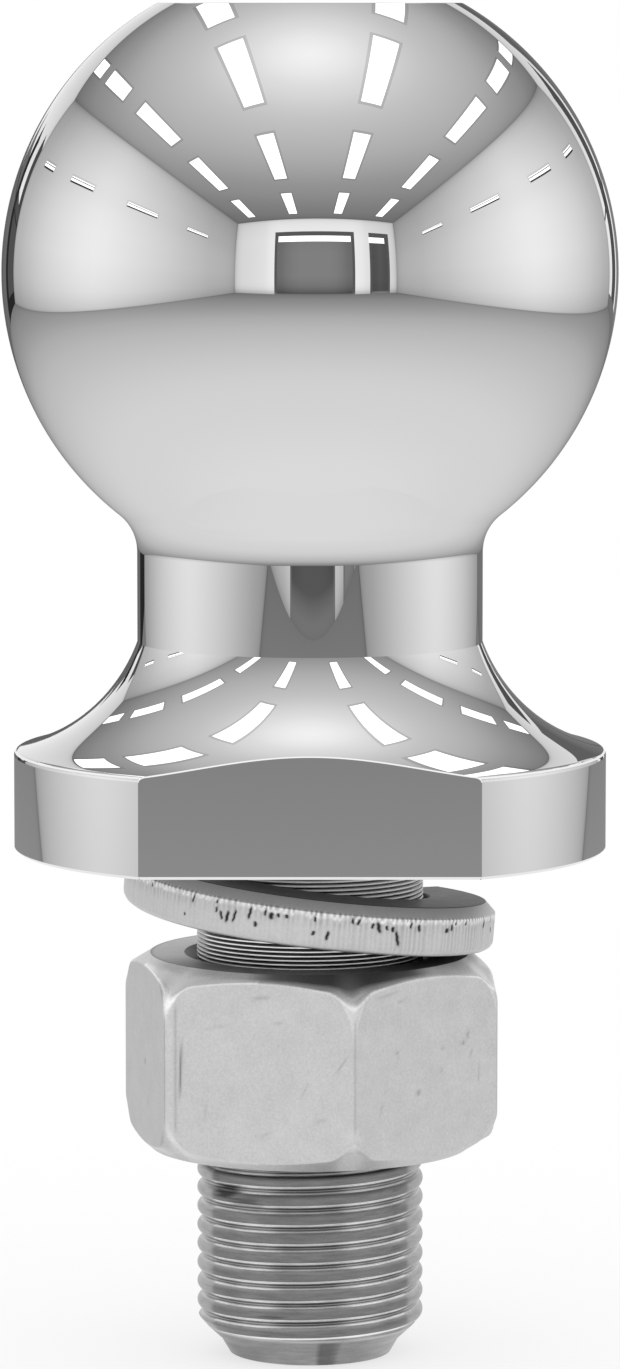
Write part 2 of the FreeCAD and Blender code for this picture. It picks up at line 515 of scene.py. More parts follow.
# the flare, the rim and the two flats, with a small round along the flats' edges
def flangePatches(sections):
    b = body
    (fr, fz), head, foot = sections["flare"]
    (er, ez), edgeStart, edgeStop = sections["rimEdge"]
    half = b["halfColumns"]
    wall = b["flatDistance"]

    # the sharp edge's half chord grows evenly from the scallop's peak to the rim
    flareEndR = fr + b["flareRadius"] * math.cos(math.radians(foot))
    reachX = math.sqrt(flareEndR ** 2 - wall ** 2) * closeRows(56)
    radius = np.sqrt(wall ** 2 + reachX ** 2)
    height = fz - np.sqrt(b["flareRadius"] ** 2 - (fr - radius) ** 2)
    edgeCourse = np.column_stack([radius, height, (fr - radius) / b["flareRadius"],
                                  (fz - height) / b["flareRadius"]])
    margin = 0.03                       # narrow rows beside the rounds, to keep their tone off the rim
    levels = (ez, ez - margin, b["seatChamfer"] + margin, b["seatChamfer"])
    course = np.vstack([edgeCourse, arc((er, ez), b["rimEdgeRadius"], edgeStart, edgeStop, 8)[1:]]
                       + [straight((b["rimRadius"], upper), (b["rimRadius"], lower), (1, 0), count)[1:]
                          for upper, lower, count in zip(levels, levels[1:], (1, 6, 1))])
    x = np.sqrt(np.maximum(course[:, 0] ** 2 - wall ** 2, 0))
    sharp = np.column_stack([x, np.full_like(x, -wall), course[:, 1]])
    outward = np.column_stack([course[:, 2] * x / course[:, 0],
                               -course[:, 2] * wall / course[:, 0], course[:, 3]])
    facing = np.array([0.0, -1.0, 0.0])
    middle = outward + facing
    middle /= np.linalg.norm(middle, axis=1, keepdims=True)
    halfCos = middle @ facing
    centres = sharp - middle * (b["flatEdge"] / halfCos)[:, None]
    angle = 2 * np.arccos(np.clip(halfCos, -1, 1))
    steps = []
    for share in closeRows(5):
        way = (np.sin((1 - share) * angle)[:, None] * facing
               + np.sin(share * angle)[:, None] * outward) / np.sin(angle)[:, None]
        steps.append((centres + b["flatEdge"] * way, way))
    strip = np.stack([s for s, _ in steps], 1), np.stack([w for _, w in steps], 1)
    strip[0][0, :, 0] = 0
    strip[1][0, :, 0] = 0

    # rings of the flare and rim, from the front flat round to the rear one
    shoulder = strip[0][:, -1]
    ringR = np.hypot(shoulder[:, 0], shoulder[:, 1])
    ringZ = shoulder[:, 2]
    limit = np.arctan2(-shoulder[:, 1], shoulder[:, 0])
    turns = limit[:, None] * (2 * closeRows(half) - 1)
    slope = np.column_stack([course[:, 2], course[:, 3]])
    onFlare = slice(0, len(edgeCourse))
    slope[onFlare, 0] = (fr - ringR[onFlare]) / b["flareRadius"]
    slope[onFlare, 1] = np.sqrt(1 - slope[onFlare, 0] ** 2)
    ring = np.stack([ringR[:, None] * np.cos(turns), ringR[:, None] * np.sin(turns),
                     np.broadcast_to(ringZ[:, None], turns.shape)], -1)
    ringWay = np.stack([slope[:, :1] * np.cos(turns), slope[:, :1] * np.sin(turns),
                        np.broadcast_to(slope[:, 1:], turns.shape)], -1)

    # the flat itself, with narrow columns at its ends
    foot = strip[0][:, 0]
    share = np.concatenate([[-1], (2 * closeRows(b["flatColumns"]) - 1) * 0.997, [1]])
    flat = np.stack(np.broadcast_arrays(foot[:, :1] * share, foot[:, 1:2], foot[:, 2:3]), -1)
    flatWay = np.broadcast_to(facing, flat.shape)

    # dull are the crown of the rim's round, and the flats' edges down to the foot of that round
    row = np.arange(len(ring))[:, None] - len(edgeCourse)
    rimRound = np.where((row >= 2) & (row < 5), b["roundTone"], 0)
    stripRound = np.where(row < 8, b["roundTone"], 0.5)
    patches = []
    for sx in (1, -1):
        flip = np.array([sx, 1, 1])
        patches.append((ring * flip, ringWay * flip, rimRound))
        for sy in (1, -1):
            turn = np.array([sx, sy, 1])
            patches.append((strip[0] * turn, strip[1] * turn, stripRound))
    for sy in (1, -1):
        turn = np.array([1, sy, 1])
        patches.append((flat * turn, flatWay * turn))

    # chamfer round the seat, and the seat
    front = flat[-1]
    corner, cornerWay = strip[0][-1], strip[1][-1]
    right, rightWay = ring[-1], ringWay[-1]
    mirrorY = np.array([1, -1, 1])
    quarter = np.vstack([front, corner[1:], right[1:], (corner * mirrorY)[::-1][1:]])
    quarterWay = np.vstack([flatWay[-1], cornerWay[1:], rightWay[1:], (cornerWay * mirrorY)[::-1][1:]])
    turnAbout = np.array([-1, -1, 1])
    loop = np.vstack([quarter, (quarter * turnAbout)])
    loopWay = np.vstack([quarterWay, quarterWay * turnAbout])
    loopWay[:len(front)] = facing
    loopWay[len(quarter):len(quarter) + len(front)] = -facing
    loop, loopWay = np.vstack([loop, loop[:1]]), np.vstack([loopWay, loopWay[:1]])
    inner = loop - loopWay * b["seatChamfer"]
    inner[:, 2] = 0
    slant = (loopWay + np.array([0, 0, -1.0])) / math.sqrt(2)
    patches.append((np.stack([loop, inner]), np.stack([slant, slant]), b["roundTone"]))
    centre = np.zeros_like(inner)
    patches.append((np.stack([inner, centre]), np.array([0, 0, -1.0])))
    return patches, (ringR[0], ringZ[0])


def buildBody():
    b = body
    sections = bodySections()
    lower, (peakR, peakZ) = flangePatches(sections)
    (fr, fz), head, _ = sections["flare"]
    peak = math.degrees(math.atan2(peakZ - fz, peakR - fr)) % 360
    upperFlare = arc((fr, fz), b["flareRadius"], head, peak, 44, hollow=True)
    upperFlare[-1, :2] = peakR, peakZ
    turns = np.radians(-90 + 360 * closeRows(2 * b["halfColumns"]))
    patches = [turned(section, turns) for section in sections["crown"] + [upperFlare]]
    chrome = newMaterial("polishedChrome", chromeFinish)
    piece = meshPiece("chromed_ball", patches + lower, chrome)
    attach(piece, "ball")
    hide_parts("tow_ball")
    piece.visible_glossy = False        # the plate shows the workshop and not itself
    return piece


buildBody()
print("chromed body made")


# Dull steel: the tone that each piece carries, clouded and lightly speckled.
# A squash above 1 draws the clouds out into level streaks.
def steelFinish(roughness, cloudSize, cloudDepth, grainDepth, squash=1.0):
    def sockets(begin):
        place = begin.node("ShaderNodeVectorMath", {"operation": "MULTIPLY"}, {
            0: begin.node("ShaderNodeTexCoord", out="Object"), 1: (1, 1, squash)})
        tone = begin.node("ShaderNodeAttribute", {"attribute_name": "tone"}, out="Fac")
        cloud = begin.node("ShaderNodeTexNoise", sockets={
            "Vector": place, "Scale": 1000 / cloudSize, "Detail": 5.0, "Roughness": 0.6})
        grain = begin.node("ShaderNodeTexNoise", sockets={"Vector": place, "Scale": 5200.0, "Detail": 3.0})
        tone = tone * ((cloud - 0.5) * cloudDepth + (grain - 0.5) * grainDepth + 1.0)
        paint = begin.node("ShaderNodeCombineColor", sockets={"Red": tone, "Green": tone, "Blue": tone})
        bump = begin.node("ShaderNodeBump", sockets={
            "Strength": 0.3, "Distance": 0.00002, "Height": grain + cloud})
        return {
            "Base Color": paint,
            "Metallic": 1.0,
            "Roughness": (cloud - 0.5) * 0.12 + roughness,
            "Normal": bump,
        }
    return sockets


def smoothStep(share):
    share = np.clip(share, 0, 1)
    return share * share * (3 - 2 * share)


# Threaded shank of the same forging, left dull
shank = {
    "radius": 9.425,
    "columns": 112,
    "ridgePitch": 0.36,         # fine close ridges, down to the first full thread
    "ridgeRows": 8,
    "ridgeDepth": 0.07,
    "ridgeEnd": -9.6,
    "threadPitch": 1.5875,
    "threadDepth": 0.60,
    "top": 0.3,                 # inside the flange
    "coneTop": -40.0,
    "end": -42.4,
    "sideTone": 0.40,           # painted sheen: both sides, seen edge-on, are plain and paler
    "faceTone": 0.24,
    "roughness": 0.32,
}
# tones up one pitch, from the root: the flanks are brighter than the crest between them, partly as rolled
# metal and partly as painted highlights, and the dark roots are painted shade
ridgeTones = [(0, 0.12), (0.10, 0.16), (0.24, 0.56), (0.76, 0.60), (0.90, 0.16), (1, 0.12)]
lowRidgeTones = [(0, 0.05), (0.28, 0.08), (0.42, 0.95), (0.60, 0.95), (0.74, 0.08), (1, 0.05)]
threadTones = [(0, 0.20), (0.15, 0.20), (0.18, 0.88), (0.26, 0.88), (0.29, 0.19), (0.66, 0.18),
               (0.80, 0.28), (0.845, 0.32), (0.87, 1.0), (0.91, 1.0), (0.935, 0.20), (1, 0.20)]
# the same, left and right of the middle, paler with wider bright lines: painted sheen
threadSideSheenTones = [(0, 0.36), (0.13, 0.36), (0.16, 1.0), (0.26, 1.0), (0.29, 0.21), (0.66, 0.20),
                   (0.80, 0.30), (0.845, 1.0), (0.91, 1.0), (0.935, 0.36), (1, 0.36)]
# where the mesh has its rows, as shares of the pitch
threadRows = [0, 0.04, 0.09, 0.13, 0.155, 0.18, 0.22, 0.26, 0.29, 0.35, 0.42, 0.5, 0.58, 0.66, 0.73,
              0.80, 0.845, 0.87, 0.89, 0.91, 0.935]
# how far out the turned end may reach, by height
endRadii = [(-42.4, 6.75), (-41.2, 7.45), (-40.1, 8.65), (-39.2, 9.43)]
# stains on the shank: azimuths, top, bottom and depth
stains = [(-150, -128, -27.3, -28.6, 0.75), (-136, -112, -28.0, -29.2, 0.45),
          (-150, -140, -25.5, -27.4, 0.35), (-110, -60, -29.6, -30.0, 0.3),
          (-116, -104, -37.6, -38.3, 0.5), (-118, -110, -39.2, -39.8, 0.6),
          (-87, -72, -40.9, -42.5, 0.5), (-44, -38, -27.2, -33.0, 0.35),
          (-62, -54, -33.4, -33.9, 0.5), (-122, -112, -32.2, -32.6, 0.6)]
# tones of the turned end, by azimuth
coneTones = [(-180, 0.15), (-140, 0.22), (-110, 0.30), (-60, 0.28), (-30, 0.36), (0, 0.30)]


def shankPhase(turn, z, pitch):
    phase = z / pitch - turn / (2 * np.pi)
    return phase - np.floor(phase)


def shankRadius(turn, z):
    s = shank
    ridge = 0.5 + 0.5 * np.cos(2 * np.pi * shankPhase(turn, z, s["ridgePitch"]))
    offCrest = np.abs(shankPhase(turn, z, s["threadPitch"]) - 0.5) * 2
    full = smoothStep((s["ridgeEnd"] - z) / 0.8)
    cut = s["ridgeDepth"] * ridge ** 2 * (1 - full) + s["threadDepth"] * offCrest ** 2.2 * full
    return np.minimum(s["radius"] - cut, np.interp(z, *zip(*endRadii)))


def shankTone(turn, z):
    s = shank
    upper, lower = (np.interp(shankPhase(turn, z, s["ridgePitch"]), *zip(*tones))
                    for tones in (ridgeTones, lowRidgeTones))
    low = smoothStep((-4.6 - z) / 1.2)          # thinner and brighter in the nut's mouth
    fine = upper * (1 - low) + lower * low
    azimuth = np.degrees(np.arctan2(np.sin(turn), np.cos(turn)))
    coarse, side = (np.interp(shankPhase(turn, z, s["threadPitch"]), *zip(*tones))
                    for tones in (threadTones, threadSideSheenTones))
    # painted sheen: away from the front the thread takes the paler side tones
    offFront = np.abs(azimuth + 90)
    beside = smoothStep((offFront - 12) / 14) * (1 - 0.55 * smoothStep((offFront - 36) / 10))
    coarse = coarse + (side - coarse) * beside
    full = smoothStep((s["ridgeEnd"] - z) / 0.5)
    tone = fine * (1 - full) + coarse * full
    # painted sheen: towards both sides, seen edge-on, the tone turns plain and paler
    edge = 0.89 - 0.05 * full
    aside = smoothStep((np.abs(np.cos(turn)) - edge) / 0.05)
    tone = tone + (s["sideTone"] - tone) * aside * 0.85
    for low, high, top, bottom, share in stains:
        wave = 2.5 * np.sin(z * 9 + low) + 2 * np.sin(z * 23)
        inside = smoothStep((azimuth - low + wave) / 7) * smoothStep((high - azimuth + wave) / 7)
        inside = inside * smoothStep((z - bottom) / 0.35) * smoothStep((top - z) / 0.3)
        tone = tone * (1 - share * inside)
    onCone = smoothStep((s["coneTop"] - 0.05 - z) / 0.1)
    lip = np.exp(-((z - s["coneTop"] + 0.05) / 0.12) ** 2)
    cone = np.interp(azimuth, *zip(*coneTones))
    for low, high, _, bottom, share in stains:
        if bottom < s["end"]:
            cone = cone * (1 - share * smoothStep((azimuth - low) / 3) * smoothStep((high - azimuth) / 3))
    return (tone * (1 - onCone) + cone * onCone) * (1 - lip) + 0.5 * lip


# rows that follow the helix at given shares of its pitch, cut off level at both ends
def shankRows(turns, top, bottom, pitch, shares):
    climb = turns / (2 * np.pi) * pitch
    first, last = math.ceil((top - climb.min()) / pitch) + 1, math.floor((bottom - climb.max()) / pitch) - 1
    start = [(whole + share) * pitch for whole in range(first, last - 1, -1) for share in shares[::-1]]
    rows = np.array(start)[:, None] + climb[None, :]
    used = (rows.min(1) < top) & (rows.max(1) > bottom)
    used[1:] |= used[:-1].copy()
    used[:-1] |= used[1:].copy()
    return np.clip(rows[used], bottom, top)


def shankPatch(turns, heights):
    turn = np.broadcast_to(turns, heights.shape)
    radius = shankRadius(turn, heights)
    step = 0.01
    rise = (shankRadius(turn, heights + step) - shankRadius(turn, heights - step)) / (2 * step)
    swing = (shankRadius(turn + 1e-3, heights) - shankRadius(turn - 1e-3, heights)) / 2e-3 / radius
    c, s = np.cos(turn), np.sin(turn)
    spots = np.stack([radius * c, radius * s, heights], -1)
    ways = np.stack([c + swing * s, s - swing * c, -rise], -1)
    return spots, ways / np.linalg.norm(ways, axis=-1, keepdims=True), shankTone(turn, heights)


def buildShank():
    s = shank
    turns = np.radians(-90 + 360 * closeRows(s["columns"]))
    fullTop, fullBottom = s["ridgeEnd"], s["coneTop"] + 0.1
    cone = np.repeat(np.linspace(fullBottom, s["end"], 26)[:, None], len(turns), 1)
    ridgeRows = closeRows(s["ridgeRows"])[:-1].tolist()
    patches = [shankPatch(turns, shankRows(turns, s["top"], fullTop, s["ridgePitch"], ridgeRows)),
               shankPatch(turns, shankRows(turns, fullTop, fullBottom, s["threadPitch"], threadRows)),
               shankPatch(turns, cone)]
    for ring, way in ((patches[0][0][0], 1.0), (patches[2][0][-1], -1.0)):
        middle = np.zeros_like(ring)
        middle[:, 2] = ring[:, 2]
        patches.append((np.stack([ring, middle]), np.array([0, 0, way]), s["faceTone"]))
    steel = newMaterial("dullShankSteel", steelFinish(s["roughness"], 2.0, 0.9, 0.4, 7.0))
    piece = meshPiece("threaded_shank", patches, steel)
    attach(piece, "ball")
    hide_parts("tow_ball")
    return piece


buildShank()
print("threaded shank made")


# Helical lock washer, sprung open and tilted, left-handed
washer = {
    "bore": 9.85,
    "width": 5.65,
    "thickness": 4.0,
    "lead": 4.0,
    "gapAngle": 13.0,
    "lowEnd": 42.0,
    "tilt": 4.4,
    "bevelWidth": 0.9,
    "bevelHeight": 0.9,
    "edgeRadius": 0.22,
    "footRadius": 0.80,
    "ribPitch": 0.46,
    "ribDepth": 0.025,
    "columns": 1100,
    "tone": 0.60,
    # painted shade from the flange above: the bevel's and the top face's tones
    "bevelTone": 0.52,
    "faceTone": 0.055,
    "roughness": 0.42,
    "pitDepth": 0.07,
    "pitCentre": 306,       # the axis and the rim's half width, in the scale of the pits below
    "pitReach": 187,
}
# marks on the rim: place across its front, share of the way down the rim, height and width in mm
rimPits = [
    (149, 0.12, 0.25, 0.15), (183, 0.62, 0.20, 0.12), (191, 0.15, 0.60, 0.12), (214, 0.10, 0.25, 0.15),
    (214, 0.32, 0.35, 0.14), (219, 0.44, 0.55, 0.18), (225, 0.45, 0.75, 0.20), (232, 0.40, 0.80, 0.16),
    (247, 0.25, 0.80, 0.18), (253, 0.52, 0.35, 0.22), (262, 0.18, 0.40, 0.15), (268, 0.24, 0.45, 0.28),
    (275, 0.20, 0.25, 0.18), (283, 0.20, 0.25, 0.20), (310, 0.55, 0.30, 0.20), (311, 0.18, 0.35, 0.15),
    (324, 0.58, 0.60, 0.20), (348, 0.12, 0.45, 0.18), (354, 0.14, 0.45, 0.18), (368, 0.22, 0.35, 0.18),
    (374, 0.25, 0.70, 0.25), (382, 0.25, 0.30, 0.18), (388, 0.28, 0.35, 0.22), (393, 0.52, 0.95, 0.22),
    (406, 0.16, 0.35, 0.15), (414, 0.22, 0.45, 0.22), (442, 0.28, 0.30, 0.30), (447, 0.20, 0.45, 0.20),
    (451, 0.10, 0.20, 0.20), (461, 0.12, 0.20, 0.20), (480, 0.18, 0.50, 0.18), (487, 0.10, 0.35, 0.15),
    (488, 0.38, 0.35, 0.20),
]


# the section's outline with small rounds at its corners, and how far down the rim each place is
def washerSection():
    w = washer
    inner, outer = w["bore"], w["bore"] + w["width"]
    face = w["thickness"] / 2
    corners = np.array([(inner, -face), (outer, -face), (outer, face - w["bevelHeight"]),
                        (outer - w["bevelWidth"], face), (inner, face)])
    runs = (3, 36, 8, 3, 3)
    spots = []
    for i, corner in enumerate(corners):
        back, on = corners[i - 1] - corner, corners[(i + 1) % 5] - corner
        length = np.hypot(*on)
        back, on = back / np.hypot(*back), on / length
        half = math.acos(back @ on) / 2
        radius = w["footRadius"] if i == 1 else w["edgeRadius"]
        centre = corner + (back + on) / np.hypot(*(back + on)) * radius / math.sin(half)
        trim = radius / math.tan(half)
        first, last = corner + back * trim - centre, corner + on * trim - centre
        for share in closeRows(4):
            way = first * (1 - share) + last * share
            spots.append(centre + way / np.hypot(*way) * radius)
        nextTrim = (w["footRadius"] if i == 0 else w["edgeRadius"]) * 1.3
        for share in np.linspace(trim / length, 1 - nextTrim / length, runs[i] + 2)[1:-1]:
            spots.append(corner + on * length * share)
    return np.array(spots)


def buildWasher():
    w = washer
    section = washerSection()
    sweep = math.radians(360 - w["gapAngle"])
    share = closeRows(w["columns"])
    rise = w["lead"] * (1 - w["gapAngle"] / 360)
    outer = w["bore"] + w["width"]
    rimTop = w["thickness"] / 2 - w["bevelHeight"]
    radius = np.repeat(section[:, :1], len(share), 1)
    level = np.repeat(section[:, 1:], len(share), 1)
    arcLength = share * sweep * outer
    angle = math.radians(w["lowEnd"]) - share * sweep
    down = (rimTop - level) / (rimTop + w["thickness"] / 2)       # 0 at the bevel, 1 at the foot
    onRim = smoothStep((radius - outer + 0.35) / 0.3)
    onBevel = smoothStep((radius - (outer - w["bevelWidth"])) / 0.1)

    # ribs left by the rolling, strongest under the bevel, each one a little different; their darker grooves
    # are painted shade
    random = np.random.default_rng(7)
    count = int(arcLength[-1] / w["ribPitch"]) + 2
    strong = np.interp(arcLength / w["ribPitch"], np.arange(count), random.uniform(0.1, 1.0, count))
    shift = np.interp(arcLength / w["ribPitch"], np.arange(count), random.uniform(-0.3, 0.3, count))
    ragged = np.interp(arcLength / 0.17, np.arange(900), random.uniform(0, 1, 900))
    rib = 0.5 - 0.5 * np.cos(2 * np.pi * (arcLength / w["ribPitch"] + shift))
    fullHeight = 0.12 + 0.30 * smoothStep((np.degrees(angle) + 95) / 30)
    ribFade = fullHeight + (1 - fullHeight) * smoothStep(1 - down / 0.5)
    ribs = rib * strong * ribFade * onRim
    radius = radius - w["ribDepth"] * ribs

    # painted highlights: the lip between bevel and rim is ragged and bright, the foot has a light line
    lipPlace = 0.01 + 0.10 * rib * strong + 0.06 * ragged
    lip = np.exp(-((down - lipPlace) / (0.035 + 0.05 * strong)) ** 2) * onRim * (0.35 + 0.65 * ragged)
    foot = np.exp(-((down - 0.93) / 0.05) ** 2) * onRim
    # painted shade under the flange: the bevel darkens upwards and the top face is nearly black
    above = smoothStep((-down - 0.02) / 0.04)
    tone = w["tone"] * (1 - 0.62 * ribs) * (1 - above) + 0.46 * lip + 0.16 * foot
    upBevel = np.clip((level - rimTop) / w["bevelHeight"], 0, 1)
    tone = tone + above * np.where(onBevel > 0.5, w["bevelTone"] * (1.08 - 0.30 * upBevel), w["faceTone"])
    for x, place, tall, wide in rimPits:
        azimuth = -math.pi / 2 + math.asin((x - w["pitCentre"]) / w["pitReach"])
        along = (math.radians(w["lowEnd"]) - azimuth) * outer
        lean = 0.25 * math.sin(x * 1.7)
        offset = (arcLength - along)[None, :] + lean * (down - place) * 3.1
        offset = offset + 0.02 * np.sin((down - place) * 40 + x)
        pit = np.exp(-(offset / (wide * 0.6)) ** 2 - ((down - place) * 3.1 / (tall * 0.6)) ** 4) * onRim
        tone = tone * (1 - 0.94 * np.clip(pit * 1.7, 0, 1))
        radius = radius - w["pitDepth"] * pit
    spots = np.stack([radius * np.cos(angle), radius * np.sin(angle),
                      level + (share * rise - rise / 2)[None, :]], -1)
    lean = math.radians(w["tilt"])
    turn = np.array([[math.cos(lean), 0, math.sin(lean)], [0, 1, 0], [-math.sin(lean), 0, math.cos(lean)]])
    spots = spots @ turn.T
    spots[..., 2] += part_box("lock_washer")[1].z / mm - spots[..., 2].max()
    around = spots - spots.mean(0, keepdims=True)
    ways = gridWays(spots, around, closed=True)
    spots, ways, tone = (np.concatenate([grid, grid[:1]]) for grid in (spots, ways, tone))
    patches = [(spots, ways, tone)]
    for end, beside in ((0, 1), (-1, -2)):
        loop = spots[:, end]
        middle = np.broadcast_to(loop.mean(0), loop.shape)
        way = (spots[:, end] - spots[:, beside]).mean(0)
        patches.append((np.stack([loop, middle]), way / np.linalg.norm(way), w["tone"] * 0.8))
    steel = newMaterial("washerSteel", steelFinish(w["roughness"], 1.2, 0.18, 0.22))
    piece = meshPiece("split_washer", patches, steel)
    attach(piece, "washer")
    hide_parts("lock_washer")
    return piece


buildWasher()
print("lock washer made")


# Hexagon nut, chamfered and countersunk on both faces
nut = {
    "acrossFlats": 28.2,
    "faceRadius": 13.3,
    "chamferAngle": 41.0,
    "cornerAzimuth": -77.0,
    "bore": 9.475,
    "countersink": 1.0,
    "threadPitch": 1.5875,
    "threadDepth": 0.55,
    "cornerRadius": 0.6,
    "edgeReach": (0.18, 1.15),      # how far the forging's round reaches, mid-side and at a corner
    # the left side's lower tone is painted shade
    "sideTones": (0.59, 0.60, 0.60, 0.60, 0.53, 0.60),
    # the chamfer's raised tone is painted light where the washer shades it
    "chamferLitTone": 0.74,
    "faceTone": 0.62,
    "boreTone": 0.12,
    "cornerHighlights": (0.08, 0.04, 0.06, 0.10, 0.06, 0.45),        # painted highlights added at the corners
    "seams": (0.03, 0.05, 0.0, 0.05, 0.0, 0.95),    # how far from each corner its fine dark line runs
    "chamferWasherShadow": (-78, 0.72),     # where the washer's painted shadow on the chamfer is darkest, and its depth
    # the same painted shadow of the washer on the top face
    "faceWasherShadow": (-62, 0.88),
    "roughness": 0.46,
}
# scratches and specks on the sides: side, place along it and height in mm, length, lean, width, depth
nutMarks = [
    (5, -6.75, -16.9, 4.3, 2, 0.10, 0.62), (5, 0.2, -10.6, 1.6, 84, 0.16, 0.22),
    (5, 1.6, -12.6, 1.1, 80, 0.10, 0.16), (5, -3.8, -13.2, 2.0, 78, 0.10, 0.14),
    (5, 3.9, -18.0, 1.4, 25, 0.08, 0.18), (5, 7.0, -15.8, 1.6, 35, 0.08, 0.25),
    (5, 5.2, -20.5, 1.0, 70, 0.12, 0.16), (5, -4.6, -20.2, 1.6, 10, 0.10, 0.14),
    (5, 0.6, -21.8, 1.2, 60, 0.10, 0.14), (0, -4.4, -10.4, 2.4, 82, 0.10, 0.24),
    (0, -2.9, -11.0, 1.2, 75, 0.10, 0.22), (0, 4.6, -14.6, 0.7, 5, 0.14, 0.30),
    (0, 5.0, -16.2, 0.8, 20, 0.12, 0.22), (0, -1.0, -18.8, 0.5, 0, 0.22, 0.35),
    (0, -3.4, -15.3, 0.3, 0, 0.16, 0.35), (0, 1.7, -15.4, 0.4, 60, 0.14, 0.25),
    (0, 4.1, -15.2, 0.3, 0, 0.16, 0.45), (0, 5.9, -17.9, 1.5, 3, 0.09, 0.20),
    (0, 1.6, -17.2, 0.3, 0, 0.14, 0.30), (0, -5.2, -19.8, 1.2, 15, 0.10, 0.16),
    (4, 0.3, -17.4, 0.6, 5, 0.16, 0.55), (4, 3.0, -13.0, 1.4, 10, 0.10, 0.16),
    (4, 1.5, -20.6, 1.0, 20, 0.12, 0.18),
]


# one side of the hexagon in its own frame: half a corner's round, the flat, half a round
def nutSide():
    n = nut
    apothem = n["acrossFlats"] / 2
    halfSide = apothem * math.tan(math.radians(30))
    flatHalf = halfSide - n["cornerRadius"] * math.tan(math.radians(30))
    bend = np.radians(30 * closeRows(5))
    roundX = apothem - n["cornerRadius"] * (1 - np.cos(bend))
    roundY = flatHalf + n["cornerRadius"] * np.sin(bend)
    even = 2 * closeRows(88) - 1
    flatY = np.sin(np.pi / 2 * even) * flatHalf * 0.35 + even * flatHalf * 0.65    # closer at the corners
    outX = np.concatenate([roundX[:0:-1], np.full_like(flatY, apothem), roundX[1:]])
    outY = np.concatenate([-roundY[:0:-1], flatY, roundY[1:]])
    bend = np.concatenate([-bend[:0:-1], 0 * flatY, bend[1:]])
    edgeR = np.hypot(outX, outY)

    # the chamfer's edge lies flatter across the side than a turned one, and dips at the corners
    turnedDrop = (edgeR - n["faceRadius"]) * math.tan(math.radians(n["chamferAngle"]))
    middleDrop, cornerDrop = turnedDrop.min(), turnedDrop.max()
    fromMiddle = np.abs(outY) / halfSide
    flatter = middleDrop + 0.42 * fromMiddle ** 2 \
        + (cornerDrop - middleDrop - 0.42) * smoothStep((fromMiddle - 0.70) / 0.30) ** 1.2
    drop = np.minimum(0.35 * turnedDrop + 0.65 * flatter, cornerDrop)
    return {"y": outY, "span": np.arctan2(outY, outX), "bend": bend, "edgeR": edgeR, "drop": drop,
            "cornerDrop": cornerDrop, "fromMiddle": fromMiddle, "fromCorner": halfSide - np.abs(outY)}


# rows down the chamfer, round its edge and down to the middle of the side: radius, depth, upward slope
def nutRows(side, middle):
    edgeR, drop = side["edgeR"], side["drop"]
    small, wide = nut["edgeReach"]
    reach = small + (wide - small) * np.exp(-(side["fromCorner"] / 1.6) ** 2)
    run = edgeR - nut["faceRadius"]
    slant = np.hypot(run, drop)
    slopeUp = run / slant
    rows = []
    for share in (0, 0.12, 0.3, 0.6, 0.85, 1.0):
        part = share * (slant - reach) / slant
        rows.append((nut["faceRadius"] + run * part, drop * part, slopeUp))
    for t in closeRows(7)[1:]:
        fromChamfer, onSide = (1 - t) ** 2, t ** 2
        rows.append((edgeR - run * (reach / slant) * fromChamfer,
                     drop - drop * (reach / slant) * fromChamfer + reach * onSide,
                     slopeUp * (1 - smoothStep(t))))
    last = rows[-1][1]
    for share in np.linspace(0, 1, 36)[1:] ** 1.15:
        rows.append((edgeR, last + (middle - last) * share, 0 * edgeR))
    radii, depths, ups = (np.stack(grid) for grid in zip(*rows))
    return radii, depths, ups, slopeUp


